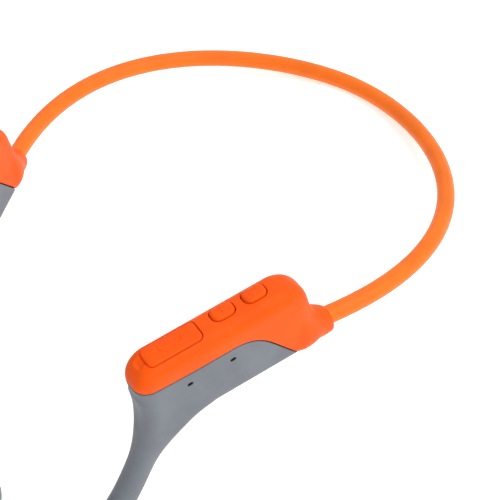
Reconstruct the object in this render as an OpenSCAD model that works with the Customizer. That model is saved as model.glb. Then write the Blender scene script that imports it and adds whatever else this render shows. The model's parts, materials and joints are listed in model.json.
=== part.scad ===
// Bone conduction headphones: two pods joined by a sprung neckband, with ear hooks and transducers.
// Millimetres. X runs across the head, Y from the transducers to the back of the band, Z up.
// The headphones stand as on a table, on the bottoms of both ear hooks and the back of the band.
// The wearer's right side is at +X. Each side is drawn in its own pod frame: x outward, y to the
// rear, z up from the pod's lower edge, with y = 0 where the band leaves the pod.

/* [Neckband] */
// Distance from the middle to the band's exit from a pod
band_half_width = 46.5; // [42:0.5:52]
// Distance from the exits back to the rear of the band
band_depth = 72.5; // [66:0.5:80]
// Drop of the band from the exits to its rear, with the pods level
band_drop = 14; // [10:0.5:18]
// Diameter of the silicone sleeve
band_diameter = 4; // [3.6:0.1:4.4]
// Angle at which the band leaves a pod, outward from straight back
exit_angle = 23; // [18:1:28]
// Fall of the band per millimetre at the exit
exit_fall = 0.13; // [0.05:0.01:0.2]
// Reach of the curve's handle at the exit
exit_handle = 51; // [44:1:56]
// Reach of the curve's handle at the rear
rear_handle = 26; // [20:1:32]
// Diameter of the sprung metal wire
wire_diameter = 0.9; // [0.7:0.1:1.1]
// Diameter of the cable beside the wire
cable_diameter = 0.8; // [0.6:0.1:1]

/* [Pods] */
// Angle by which each pod turns in towards its front
pod_toe = 20.5; // [14:0.5:24]
// Thickness of a pod
pod_thickness = 9; // [8.6:0.1:10]
// Height of a pod
pod_height = 20.8; // [20.2:0.1:22]
// Distance from the exit to the front of a pod
pod_front = 47.2; // [46:0.1:50]
// Radius of the rounded edges
pod_edge = 3.6; // [3:0.1:4]
// Height of the exit's centre above the pod's lower edge
exit_height = 2; // [1.6:0.1:2.2]
// Thickness of the shells
wall = 1.2; // [1:0.1:1.4]
// Height of the seam between the two shells
seam_height = 14.6; // [13.6:0.1:15]
// Gap between the two shells, which the seal fills
seam_gap = 0.3; // [0.2:0.05:0.4]

/* [Controls] */
// Length of a volume button
button_length = 5.6; // [5:0.1:5.8]
// Width of a volume button
button_width = 3.5; // [3.2:0.1:3.8]
// Height of a volume button above the pod
button_rise = 0.7; // [0.4:0.1:0.8]
// Place of the plus button, forward of the exit
plus_place = 24.4; // [24:0.1:25]
// Place of the minus button, forward of the exit
minus_place = 16.8; // [16.4:0.1:17.4]
// Gap around buttons and covers
control_gap = 0.25; // [0.2:0.05:0.3]
// Length of the charging socket's cover
cover_length = 12.7; // [12:0.1:13]
// Width of the charging socket's cover
cover_width = 4.4; // [4.3:0.1:4.6]
// Place of the socket's cover, forward of the exit
cover_place = 36.6; // [36:0.1:37]
// Travel of each button
button_travel = 0.4; // [0.2:0.05:0.45]

/* [Ear hooks] */
// Diameter of the hook's round part
hook_diameter = 5.3; // [5:0.1:5.8]
// Distance from the exit forward to the hook's lowest point
hook_reach = 65; // [63:0.5:67]
// Depth of the hook's centreline below the pod
hook_depth = 25; // [23:0.5:27]

/* [Transducers] */
// Width of a transducer
transducer_width = 17; // [16:0.5:18]
// Height of a transducer
transducer_height = 23; // [22:0.5:25]
// Thickness of a transducer
transducer_thickness = 12; // [11:0.5:13]
// Lean of a transducer towards the front
transducer_lean = 12; // [8:1:20]
// Diameter of the multifunction button
call_button_diameter = 9; // [8:0.5:10]

/* [Stance] */
// Angle by which the fronts of the pods are raised when the headphones stand on a table
stance_angle = 5.85; // [5:0.01:6.5]
// Height of the exits above the table, before the stance angle is applied
stance_height = 23.3; // [20:0.01:30]
// Distance from the frame's origin back to the line through the exits
stance_shift = 8.21; // [-10:0.01:20]

/* [Hidden] */

orange = [1, 0.4, 0.13];
band_orange = [1, 0.49, 0.16];
grey = [0.52, 0.54, 0.57];
dark_grey = [0.24, 0.25, 0.27];
black = [0.08, 0.08, 0.09];
seal_brown = [0.3, 0.12, 0.08];
steel = [0.7, 0.71, 0.73];
board_green = [0.1, 0.35, 0.22];
copper = [0.78, 0.45, 0.25];
foil = [0.8, 0.8, 0.78];
foam_white = [0.9, 0.9, 0.88];
gold = [0.85, 0.68, 0.3];

right = 1;
left = -1;
hair = 0.05;
far = 80;
half_t = pod_thickness / 2;
band_radius = band_diameter / 2;
wire_radius = wire_diameter / 2;
cable_radius = cable_diameter / 2;
hook_radius = hook_diameter / 2;

// How far each part of the band reaches into a pod
sleeve_insert = 4;
wire_insert = 9.4;
cable_insert = 8;
wire_aside = 0.85;
cable_aside = -0.9;
band_steps = 22;

// Curves

function bezier(p, t) = pow(1 - t, 3) * p[0] + 3 * pow(1 - t, 2) * t * p[1]
    + 3 * (1 - t) * t * t * p[2] + pow(t, 3) * p[3];

function unit(v) = v / norm(v);

function along(path, i) = unit(path[min(i + 1, len(path) - 1)] - path[max(i - 1, 0)]);

function aside(path, reference, distance) = [
    for (i = [0:len(path) - 1]) path[i] + distance * unit(cross(reference, along(path, i)))
];

function same(path, value) = [for (p = path) value];

function mirrored(p) = [-p[0], p[1], p[2]];

// The right half of the band's centreline, from the exit to the rear, with the pods level
exit_point = [band_half_width, 0, 0];
exit_direction = [sin(exit_angle), cos(exit_angle), -exit_fall];
rear_point = [0, band_depth, -band_drop];
band_curve = [
    exit_point,
    exit_point + exit_handle * exit_direction,
    rear_point + [rear_handle, 0, 0],
    rear_point
];

// The whole centreline from the right pod to the left, with straight ends of the given length
function band_path(insert) =
    let (
        start = exit_point - insert * unit(exit_direction),
        half = [for (i = [0:band_steps]) bezier(band_curve, i / band_steps)]
    )
    concat([start], half, [for (i = [band_steps - 1:-1:0]) mirrored(half[i])], [mirrored(start)]);

// The ear hook's centreline in the pod frame: down from the pod, then round and up to the transducer
hook_bottom = [0, -hook_reach, -hook_depth];
hook_end = hook_bottom + [0, -20.5, 27.6];
hook_down = [[0, -40.6, 3.6], [0, -50.8, -10.4], hook_bottom + [0, 8, 0], hook_bottom];
hook_up = [hook_bottom, hook_bottom - [0, 8, 0], hook_end + [0, 0.5, -12], hook_end];
hook_first = -0.06;
hook_steps = 14;
hook_shares = [for (i = [0:hook_steps]) hook_first + (1 - hook_first) * i / hook_steps];

// Past the pod the hook bends inward, so that the transducers press on the head
bend_start = 52;
bend_in = 1;
function bent(p) = p - [bend_in * pow(max(0, -p[1] - bend_start) / 33, 2), 0, 0];

hook_path = concat(
    [for (t = hook_shares) bent(bezier(hook_down, t))],
    [for (i = [1:hook_steps]) bent(bezier(hook_up, i / hook_steps))]
);

// The hook's root widens into the pod
root_share = 0.46;
root_spread = 5.2;
root_thicken = 1.4;
function root(i) = i > hook_steps ? 0 : max(0, 1 - hook_shares[i] / root_share);
hook_half_widths = [for (i = [0:2 * hook_steps]) hook_radius + root_spread * pow(root(i), 3)];
hook_half_depths = [for (i = [0:2 * hook_steps]) hook_radius + min(root_thicken, root_thicken * pow(root(i), 2))];
hook_wire_path = [for (p = hook_path) p - [0.9, 0, 0]];
hook_cable_path = [for (p = hook_path) p + [0.9, 0, 0]];

// Places inside the pods: x, distance forward of the exit, height
board_x = -2.25;
board_thickness = 0.8;
board_face = board_x + board_thickness;
frame_first = 10.6;
frame_last = 44;
frame_top = 13.4;
frame_gap = 0.15;
frame_wall = 0.75;
screw_places = [[14, 5.5], [31, 5.5]];
left_screw_places = [[38, 14.8], [41, 10.6]];
screw_radius = 0.6;
socket_x = 0.3;
socket_top = pod_height - 1.8;
socket_length = 8.94;
socket_width = 3.26;
cover_skin = 0.7;
plug_shoulder = pod_height - 1.5;
tether_place = cover_place - cover_length / 2 + 0.85;
tether_foot = pod_height - 2;
cap_bottom = pod_height - 1.1;
flange_top = pod_height - wall - 0.35;
flange_bottom = flange_top - 0.65;
stem_bottom = flange_bottom - 1.2;
switch_top = stem_bottom - button_travel - 0.1;
microphone_places = [36.1, 25.9];
microphone_height = 11.6;

// The transducer's own frame: x outward, its centre at the origin
transducer_centre = [-1, -87.5, 12.5];
transducer_turn = 10;
transducer_edge = 4;
half_split = 0.12;
exciter_base = 0.4;
magnet_height = 2.2;
coil_low = -3.1;
coil_high = -0.9;

// Solids that repeat

// A tube along a path: a is its half size across the reference direction, b along it
module tube(path, a, b, reference, sides = 12) {
    last = len(path) - 1;
    rings = [
        for (i = [0:last])
            let (
                ahead = along(path, i),
                across = unit(cross(reference, ahead)),
                other = cross(ahead, across)
            )
            for (k = [0:sides - 1])
                path[i] + a[i] * cos(360 * k / sides) * across + b[i] * sin(360 * k / sides) * other
    ];
    skin = [
        for (i = [0:last - 1])
            for (k = [0:sides - 1])
                let (p = i * sides + k, q = i * sides + (k + 1) % sides)
                each [[p, q + sides, q], [p, p + sides, q + sides]]
    ];
    first_cap = [for (k = [0:sides - 1]) k];
    last_cap = [for (k = [sides - 1:-1:0]) last * sides + k];
    polyhedron(rings, concat(skin, [first_cap, last_cap]));
}

module round_tube(path, radius, reference, sides = 8) {
    tube(path, same(path, radius), same(path, radius), reference, sides);
}

// A disc across X with rounded rims, pulled in by inset
module puck(forward, up, radius, half, edge, inset) {
    r = radius - inset;
    e = edge - inset;
    h = half - inset;
    low_rim = [for (a = [90:-22.5:0]) [r - e + e * cos(a), -(h - e) - e * sin(a)]];
    high_rim = [for (a = [0:22.5:90]) [r - e + e * cos(a), h - e + e * sin(a)]];
    translate([0, -forward, up]) rotate([0, 90, 0])
        rotate_extrude($fn = 28) polygon(concat([[0, -h]], low_rim, high_rim, [[0, h]]));
}

// The pod's outside, or with an inset the space inside it
module pod_solid(inset) {
    hull() {
        puck(pod_front - 7.8, pod_height - 7.9, 7.8, half_t, pod_edge, inset);
        puck(pod_front - 5.4, 4, 4, half_t, pod_edge, inset);
        puck(8.6, 4, 4, half_t, pod_edge, inset);
        puck(12.5, pod_height - 6.6, 6.6, half_t, pod_edge, inset);
    }
}

// A transducer's outside, or with an inset the space inside it
module transducer_solid(inset) {
    radius = transducer_width / 2;
    rise = transducer_height / 2 - radius;
    hull() {
        puck(0, rise, radius, transducer_thickness / 2, transducer_edge, inset);
        puck(0, -rise, radius, transducer_thickness / 2, transducer_edge, inset);
    }
}

// A prism along z with rounded corners, its length along the pod
module slot(length, width, corner, low, high) {
    translate([0, 0, low]) linear_extrude(high - low)
        offset(corner) square([width - 2 * corner, length - 2 * corner], center = true);
}

// A prism along z with fully round ends, its length along the pod
module stadium(length, width, low, high) {
    translate([0, 0, low]) linear_extrude(high - low) {
        square([width, length - width], center = true);
        for (end = [-1, 1])
            translate([0, end * (length - width) / 2]) circle(d = width, $fn = 32);
    }
}

// A prism across the pod, drawn as an outline of distance forward and height
module across_pod(low, high) {
    translate([low, 0, 0]) rotate([90, 0, 90]) linear_extrude(high - low) mirror([1, 0]) children();
}

module pin_across(forward, up, radius, low, high) {
    translate([low, -forward, up]) rotate([0, 90, 0]) cylinder(r = radius, h = high - low, $fn = 32);
}

// Everything above the seam: level along the pod, then a round crest and a straight run down to the rear
module above_seam(lift) {
    crest = [
        for (t = [0:0.125:1])
            pow(1 - t, 2) * [25, seam_height] + 2 * t * (1 - t) * [20.1, seam_height]
            + t * t * [16.6, seam_height - 5]
    ];
    across_pod(-far, far)
        translate([0, lift])
        polygon(concat([[far, seam_height]], crest, [[-25.4, seam_height - 65], [-far, -far], [-far, far], [far, far]]));
}

// Places

module stand() {
    translate([0, stance_shift, stance_height]) rotate([-stance_angle, 0, 0]) children();
}

module pod_place() {
    translate([band_half_width, 0, -exit_height]) rotate([0, 0, -pod_toe]) children();
}

// Takes a piece from the pod frame to the stance, on the right or mirrored to the left
module on_side(side) {
    stand() {
        if (side == right) pod_place() children();
        if (side == left) mirror([1, 0, 0]) pod_place() children();
    }
}

module transducer_place() {
    translate(transducer_centre) rotate([0, 0, transducer_turn]) rotate([transducer_lean, 0, 0]) children();
}

// The band's own line at its exit, as seen from the pod frame, with z to the rear
module along_exit() {
    translate([0, 0, exit_height])
        rotate([0, 0, pod_toe - exit_angle])
        rotate([-90 - atan(exit_fall), 0, 0])
        children();
}

// Neckband

module neckband_sleeve() {
    color(band_orange) stand() difference() {
        round_tube(band_path(sleeve_insert), band_radius, [0, 0, 1], 12);
        band_line(wire_aside, wire_radius + hair, wire_insert);
        band_line(cable_aside, cable_radius + hair, cable_insert);
    }
}

module band_line(distance, radius, insert) {
    round_tube(aside(band_path(insert), [0, 0, 1], distance), radius, [0, 0, 1]);
}

module neckband_wire() {
    color(steel) stand() band_line(wire_aside, wire_radius, wire_insert);
}

module neckband_cable() {
    color(black) stand() band_line(cable_aside, cable_radius, cable_insert);
}

// Pod shells

module top_cover(side, controls) {
    color(orange) on_side(side) difference() {
        intersection() {
            union() {
                pod_solid(0);
                collar();
            }
            above_seam(seam_gap / 2);
        }
        pod_solid(wall);
        along_exit() cylinder(r = band_radius + hair, h = 16, center = true, $fn = 48);
        if (controls) {
            for (place = [plus_place, minus_place])
                translate([0, -place, 0])
                    slot(button_length + 2 * control_gap, button_width + 2 * control_gap, 1.7, 16, 25);
            cover_space();
        }
    }
}

module collar() {
    hull() {
        collar_ring(0.7, 1.3, 2.45, 2.95);
        collar_ring(6.5, 4, 3.9, 4.8);
    }
}

module collar_ring(forward, up, half_width, half_height) {
    translate([0, -forward, up]) rotate([90, 0, 0]) scale([half_width, half_height, 1])
        cylinder(r = 1, h = 0.6, $fn = 32, center = true);
}

// The recess, the way to the socket and the tether's slit
module cover_space() {
    difference() {
        translate([0, -cover_place, 0])
            slot(cover_length + 2 * control_gap, cover_width + 2 * control_gap, 1.4, 16, 25);
        pod_solid(cover_skin + hair);
    }
    translate([0, -cover_place, 0]) slot(10, 4.2, 1.2, 16, 25);
    translate([0, -tether_place, 0]) slot(1.2, 2.6, 0.4, 16, 25);
}

module lower_shell(side, microphones) {
    color(grey) on_side(side) difference() {
        union() {
            difference() {
                pod_solid(0);
                above_seam(-seam_gap / 2);
            }
            difference() {
                tube(hook_path, hook_half_widths, hook_half_depths, [1, 0, 0], 14);
                transducer_place() transducer_solid(0);
            }
        }
        pod_solid(wall);
        hook_bores();
        if (microphones)
            for (place = microphone_places)
                translate([half_t, -place, microphone_height]) rotate([0, 90, 0])
                    stadium(1.5, 0.8, -2, 2);
    }
}

module hook_bores() {
    round_tube(hook_wire_path, wire_radius + hair, [1, 0, 0]);
    round_tube(hook_cable_path, cable_radius + hair, [1, 0, 0]);
}

module cover_seal(side) {
    color(seal_brown) on_side(side) difference() {
        intersection() {
            pod_solid(0.3);
            above_seam(-seam_gap / 2);
        }
        above_seam(seam_gap / 2);
        pod_solid(wall);
    }
}

// Inside the pods

// A liner on the inner side of the pod that carries the board or the battery
module frame(side, holes) {
    color(black) on_side(side) difference() {
        intersection() {
            pod_solid(wall + frame_gap);
            across_pod(-half_t, -1.5)
                translate([frame_first, 0]) square([frame_last - frame_first, frame_top]);
        }
        pod_solid(wall + frame_gap + frame_wall);
        for (hole = holes)
            pin_across(hole[0], hole[1], screw_radius + 0.02, -half_t, 0);
    }
}

module wire_crimp(side) {
    color(steel) on_side(side) along_exit() translate([-wire_aside, 0, -10]) difference() {
        cylinder(r = 1.05, h = 3.4, $fn = 32);
        translate([0, 0, -1]) cylinder(r = wire_radius + 0.06, h = 6, $fn = 32);
    }
}

module right_circuit_board() {
    color(board_green) on_side(right) difference() {
        across_pod(board_x, board_face)
            translate([10.8, 3.4]) square([31.7, 12.6]);
        for (hole = screw_places)
            pin_across(hole[0], hole[1], screw_radius + 0.02, -half_t, 0);
    }
}

module bluetooth_chip() {
    color(black) on_side(right) across_pod(board_face, board_face + 0.8)
        translate([19.5, 7.2]) square([5.4, 5.4]);
}

module antenna_block() {
    color(foam_white) on_side(right) across_pod(board_face, board_face + 0.9)
        translate([11.4, 9.5]) square([2.2, 5.8]);
}

module board_screws(side, places, face) {
    color(steel) on_side(side) for (place = places) {
        pin_across(place[0], place[1], screw_radius, -2.95, face);
        difference() {
            pin_across(place[0], place[1], 1.05, face, face + 0.5);
            translate([face + 0.5, -place[0], place[1]]) cube([0.4, 1.5, 0.3], center = true);
        }
    }
}

module usb_socket() {
    color(steel) on_side(right) translate([socket_x, -cover_place, 0]) difference() {
        stadium(socket_length, socket_width, socket_top - 6, socket_top);
        stadium(socket_length - 0.6, socket_width - 0.6, socket_top - 5.5, socket_top + 1);
    }
}

module usb_contact_tongue() {
    color(gold) on_side(right) translate([socket_x - 0.35, -cover_place - 3.35, socket_top - 5.5])
        cube([0.7, 6.7, 4.4]);
}

module microphone(place) {
    color(gold) on_side(right)
        translate([1.9, -place - 1.7, microphone_height - 1.3]) cube([1.1, 3.4, 2.6]);
}

module microphone_meshes() {
    color(black) on_side(right) for (place = microphone_places)
        pin_across(place, microphone_height, 1.2, 3.02, 3.22);
}

module battery() {
    color(foil) on_side(left) across_pod(-1.9, 2.5)
        translate([12.6, 3.6]) offset(1) translate([1, 1]) square([21.4, 10.8]);
}

module battery_foam() {
    color(foam_white) on_side(left) across_pod(-2.35, -1.9)
        translate([15, 5]) square([18, 7.5]);
}

module left_circuit_board() {
    color(board_green) on_side(left) difference() {
        across_pod(board_x, board_face) translate([36.2, 8.8]) square([6.4, 7.4]);
        for (hole = left_screw_places)
            pin_across(hole[0], hole[1], screw_radius + 0.02, -half_t, 0);
    }
}

// Controls

module volume_button(place) {
    color(orange) on_side(right) {
        intersection() {
            pod_solid(-button_rise);
            translate([0, -place, 0]) slot(button_length, button_width, 1.5, cap_bottom, 25);
        }
        translate([0, -place, 0]) {
            slot(5, 2.6, 1, flange_top, cap_bottom);
            slot(6.9, 3.4, 1, flange_bottom, flange_top);
            translate([0, 0, stem_bottom]) cylinder(d = 1.8, h = flange_bottom - stem_bottom, $fn = 32);
        }
    }
}

module volume_switch(place) {
    color(black) on_side(right) translate([0, -place, 0]) {
        translate([-1.3, -1.7, switch_top - 1.9]) cube([2.6, 3.4, 1.6]);
        translate([0, 0, switch_top - 0.3]) cylinder(d = 1.4, h = 0.3, $fn = 32);
    }
}

module usb_cover() {
    color(orange) on_side(right) difference() {
        intersection() {
            pod_solid(0);
            translate([0, -cover_place, 0]) slot(cover_length, cover_width, 1.3, 16, 25);
        }
        pod_solid(cover_skin);
    }
}

module usb_cover_plug() {
    color(dark_grey) on_side(right) {
        intersection() {
            pod_solid(cover_skin);
            translate([0, -cover_place, 0]) slot(9, 3.4, 1.1, plug_shoulder, 25);
        }
        translate([socket_x, -cover_place, 0]) stadium(7.2, 2, socket_top - 1, plug_shoulder);
    }
}

module usb_cover_tether() {
    color(dark_grey) on_side(right) translate([0, -tether_place, 0]) {
        slot(0.9, 2.2, 0.3, tether_foot, pod_height - cover_skin - 0.1);
        slot(1.9, 3, 0.6, tether_foot - 0.7, tether_foot);
    }
}

module call_button() {
    color(orange) on_side(left) transducer_place() {
        pin_across(0, 0, call_button_diameter / 2, 4.5, transducer_thickness / 2 + 0.6);
        pin_across(0, 0, call_button_diameter / 2 + 0.7, 3.8, 4.5);
        pin_across(0, 0, 1.2, 3.1, 3.8);
    }
}

module call_switch() {
    color(black) on_side(left) transducer_place() {
        translate([1.5, -2, -2]) cube([0.8, 4, 4]);
        pin_across(0, 0, 0.9, 2.3, 3.1 - button_travel - 0.1);
    }
}

// Hooks and transducers

module hook_wire(side) {
    color(steel) on_side(side) round_tube(hook_wire_path, wire_radius, [1, 0, 0]);
}

module hook_cable(side) {
    color(black) on_side(side) round_tube(hook_cable_path, cable_radius, [1, 0, 0]);
}

// The outer half, with a hole for the call button where there is one
module transducer_shell(side, button) {
    color(grey) on_side(side) difference() {
        transducer_place() difference() {
            transducer_solid(0);
            transducer_solid(wall);
            translate([half_split - far, -far / 2, -far / 2]) cube(far);
            if (button)
                pin_across(0, 0, call_button_diameter / 2 + control_gap, 0, far);
        }
        hook_bores();
    }
}

// The inner half, which rests on the cheekbone and carries the coil
module transducer_pad(side) {
    color(dark_grey) on_side(side) {
        difference() {
            transducer_place() difference() {
                transducer_solid(0);
                transducer_solid(wall);
                translate([-half_split, -far / 2, -far / 2]) cube(far);
            }
            hook_bores();
        }
        transducer_place() pin_across(0, 0, 4.8, -(transducer_thickness / 2 - wall), coil_low);
    }
}

module exciter_yoke(side) {
    color(steel) on_side(side) transducer_place() difference() {
        pin_across(0, 0, 6, -2.6, exciter_base + 1);
        pin_across(0, 0, 5.2, -4, exciter_base);
    }
}

module exciter_magnet(side) {
    color(steel) on_side(side) transducer_place()
        pin_across(0, 0, 4, exciter_base - magnet_height, exciter_base);
}

module exciter_coil(side) {
    color(copper) on_side(side) transducer_place() difference() {
        pin_across(0, 0, 5, coil_low, coil_high);
        pin_across(0, 0, 4.2, coil_low - 1, coil_high + 1);
    }
}

module exciter_spring(side) {
    color(gold) on_side(side) transducer_place() difference() {
        pin_across(0, 0, 6.4, -2.9, -2.6);
        pin_across(0, 0, 5.1, -4, -1);
    }
}

neckband_sleeve();
neckband_wire();
neckband_cable();

top_cover(right, true);  // right_top_cover
lower_shell(right, true);  // right_lower_shell
cover_seal(right);  // right_cover_seal
frame(right, screw_places);  // right_frame
wire_crimp(right);  // right_wire_crimp
right_circuit_board();
bluetooth_chip();
antenna_block();
board_screws(right, screw_places, board_face);  // right_board_screws
usb_socket();
usb_contact_tongue();
usb_cover();
usb_cover_plug();
usb_cover_tether();
volume_button(plus_place);  // plus_button
volume_switch(plus_place);  // plus_switch
volume_button(minus_place);  // minus_button
volume_switch(minus_place);  // minus_switch
microphone(microphone_places[0]);  // front_microphone
microphone(microphone_places[1]);  // rear_microphone
microphone_meshes();
hook_wire(right);  // right_hook_wire
hook_cable(right);  // right_hook_cable
transducer_shell(right, false);  // right_transducer_shell
transducer_pad(right);  // right_transducer_pad
exciter_yoke(right);  // right_exciter_yoke
exciter_magnet(right);  // right_exciter_magnet
exciter_coil(right);  // right_exciter_coil
exciter_spring(right);  // right_exciter_spring

top_cover(left, false);  // left_top_cover
lower_shell(left, false);  // left_lower_shell
cover_seal(left);  // left_cover_seal
frame(left, left_screw_places);  // left_frame
wire_crimp(left);  // left_wire_crimp
battery();
battery_foam();
left_circuit_board();
board_screws(left, left_screw_places, board_face);  // left_board_screws
hook_wire(left);  // left_hook_wire
hook_cable(left);  // left_hook_cable
transducer_shell(left, true);  // left_transducer_shell
transducer_pad(left);  // left_transducer_pad
exciter_yoke(left);  // left_exciter_yoke
exciter_magnet(left);  // left_exciter_magnet
exciter_coil(left);  // left_exciter_coil
exciter_spring(left);  // left_exciter_spring
call_button();
call_switch();
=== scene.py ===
import json
import math

import bpy
import numpy as np
from mathutils import Matrix, Vector


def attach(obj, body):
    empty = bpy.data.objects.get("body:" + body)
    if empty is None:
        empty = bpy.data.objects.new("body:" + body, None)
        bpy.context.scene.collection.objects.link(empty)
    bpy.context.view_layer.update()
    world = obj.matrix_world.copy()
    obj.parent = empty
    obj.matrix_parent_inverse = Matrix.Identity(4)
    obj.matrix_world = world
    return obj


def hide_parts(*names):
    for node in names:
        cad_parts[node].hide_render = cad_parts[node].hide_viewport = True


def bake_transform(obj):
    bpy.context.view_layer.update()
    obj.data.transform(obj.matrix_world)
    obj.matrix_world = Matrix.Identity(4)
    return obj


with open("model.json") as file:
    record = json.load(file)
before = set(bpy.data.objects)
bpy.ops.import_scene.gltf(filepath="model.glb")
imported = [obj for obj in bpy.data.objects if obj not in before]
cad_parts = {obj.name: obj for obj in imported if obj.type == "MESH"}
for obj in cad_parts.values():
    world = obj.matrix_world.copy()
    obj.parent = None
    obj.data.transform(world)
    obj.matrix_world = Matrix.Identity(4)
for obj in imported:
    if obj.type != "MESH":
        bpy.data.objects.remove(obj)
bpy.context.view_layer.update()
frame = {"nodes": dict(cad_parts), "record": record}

MM = 0.001

# ---------------------------------------------------------------- sizes, in millimetres
# In the pod frame x points outward, y to the rear and z up, and y = 0 is where the band leaves the pod.
# s = -y is the way forward along the pod.
HALF_WIDTH, BAND_DEPTH, BAND_DROP = 46.5, 72.5, 14.0
EXIT_ANGLE, EXIT_FALL, EXIT_HANDLE, REAR_HANDLE = 23.0, 0.13, 51.0, 26.0
BAND_RADIUS, BAND_INSIDE = 2.07, 4.0
WIRE_RADIUS, WIRE_ASIDE, WIRE_LEAD = 0.45, 0.85, 5.4
CABLE_RADIUS, CABLE_ASIDE, CABLE_LEAD = 0.4, -0.9, 4.0
TOE, EXIT_HEIGHT = 20.5, 2.0
STANCE_ANGLE, STANCE_SHIFT, STANCE_HEIGHT = 5.85, 8.21, 23.3

POD_T, POD_H, POD_FRONT, POD_EDGE = 4.5, 20.8, 47.2, 3.7
COLLAR_END, COLLAR_LENGTH, COLLAR_BLEND = 0.7, 5.8, 2.0
COLLAR_WIDE, COLLAR_HIGH, COLLAR_MIDDLE = (2.45, 4.15), (2.95, 4.85), (1.3, 4.0)
SEAM_H, SEAM_GAP, SEAM_FRONT_RISE = 14.65, 0.34, 0.6

CONTROL_GAP = 0.22
PLUS_AT, MINUS_AT, KEY_L, KEY_W, KEY_R, KEY_RISE, KEY_X = 24.1, 16.55, 5.2, 3.7, 1.5, 0.62, -0.7
DOOR_AT, DOOR_L, DOOR_W, DOOR_R, DOOR_RISE, DOOR_X = 36.5, 12.5, 5.3, 1.1, 0.04, -0.15
NOTCH_AT, NOTCH_X, NOTCH_HALF_L, NOTCH_HALF_W, NOTCH_DEPTH = 43.8, -0.2, 0.85, 1.15, 0.42
CONTROLS_ABOVE = 15
MIC_AT, MIC_H, MIC_HALF_H, MIC_HALF_L = (36.1, 25.9), 11.6, 0.47, 0.68

HOOK_R, HOOK_FIRST = 2.85, -0.06
ROOT_SHARE, ROOT_SPREAD, ROOT_FROM, ROOT_TO = 0.46, 4.3, 4.0, 19.0
FILLET = 2.4

TR_CENTRE = np.array([-1.0, -87.5, 12.5])
TR_TURN, TR_LEAN, TR_R, TR_RISE, TR_T, TR_EDGE, TR_GAP = 10.0, 12.0, 8.5, 3.0, 6.0, 4.2, 0.2
CALL_R, CALL_GAP, CALL_TOP, CALL_ROLL, CALL_DISH = 4.5, 0.2, 6.6, 0.5, 0.28

# The rounded edge of a cut, in steps of (out over the gap, down below the skin). LIP is how far out it ends.
GAP_LIP = [(0.05, 0.02), (0.085, 0.06), (0.1, 0.13), (0.1, 0.9)]
HOLE_LIP = GAP_LIP[:3] + [(0.1, 1.0)]
CAP_SKIRT = [(0.0, 0.1), (0.0, 0.75)]
LIP = 0.1
FAR = 9.0  # stands for well outside a hole
STEP = 0.26  # grid step of the skins
CHUNK = 40000  # points worked on at a time, which limits memory


# ---------------------------------------------------------------- frames
def turn_z(deg):
    c, s = math.cos(math.radians(deg)), math.sin(math.radians(deg))
    return np.array([[c, -s, 0], [s, c, 0], [0, 0, 1.0]])


def turn_x(deg):
    c, s = math.cos(math.radians(deg)), math.sin(math.radians(deg))
    return np.array([[1.0, 0, 0], [0, c, -s], [0, s, c]])


def stand(P, vectors=False):
    """Level frame to row frame, still in millimetres."""
    Q = np.asarray(P, float) @ turn_x(-STANCE_ANGLE).T
    return Q if vectors else Q + [0, STANCE_SHIFT, STANCE_HEIGHT]


def pod_to_row(P, side):
    """The pod frame to the row frame, mirrored on the left side."""
    Q = np.asarray(P, float) @ turn_z(-TOE).T + [HALF_WIDTH, 0, -EXIT_HEIGHT]
    return stand(Q * [side, 1, 1])


def tr_to_pod(P):
    """(x outward, z up the transducer) in its own frame to the pod frame."""
    return np.asarray(P, float) @ (turn_z(TR_TURN) @ turn_x(TR_LEAN)).T + TR_CENTRE


# ---------------------------------------------------------------- camera, in the level frame
CAM_AZ, CAM_EL, CAM_ROLL = 44.87, 48.87, -10.0
CAM_LENS, CAM_SENSOR, CAM_DIST, CAM_TX, CAM_TY = 108.0, 36.0, 342.4, 19.6, -5.0


def add_camera():
    """A camera aimed as in the picture."""
    a, e, r = (math.radians(v) for v in (CAM_AZ, CAM_EL, CAM_ROLL))
    back = np.array([math.sin(a) * math.cos(e), -math.cos(a) * math.cos(e), math.sin(e)])
    right = np.array([math.cos(a), math.sin(a), 0.0])
    up = np.cross(back, right)
    c, s = math.cos(r), math.sin(r)
    right2, up2 = c * right + s * up, -s * right + c * up
    where = stand([right2 * CAM_TX + up2 * CAM_TY + back * CAM_DIST])[0] * MM
    axes = stand(np.array([right2, up2, back]), vectors=True)
    cam = bpy.data.cameras.new("camera")
    cam.lens, cam.sensor_width = CAM_LENS, CAM_SENSOR
    cam.clip_start, cam.clip_end = 0.01, 20
    obj = bpy.data.objects.new("camera", cam)
    bpy.context.scene.collection.objects.link(obj)
    m = Matrix.Identity(4)
    for i in range(3):
        for j in range(3):
            m[i][j] = axes[j][i]
        m[i][3] = where[i]
    obj.matrix_world = m
    bpy.context.scene.camera = obj


# ---------------------------------------------------------------- outlines and fields
def hull_of_circles(circles, n=160):
    """Convex outline round circles (x, y, r), as a closed anticlockwise polyline."""
    t = np.linspace(0, 2 * math.pi, n, endpoint=False)
    pts = np.vstack([np.c_[x + r * np.cos(t), y + r * np.sin(t)] for x, y, r in circles])
    pts = pts[np.lexsort((pts[:, 1], pts[:, 0]))]

    def half(seq):
        out = []
        for p in seq:
            while len(out) > 1:
                a, b = out[-1] - out[-2], p - out[-1]
                if a[0] * b[1] - a[1] * b[0] > 1e-12:
                    break
                out.pop()
            out.append(p)
        return out[:-1]
    return np.array(half(pts) + half(pts[::-1]))


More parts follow.
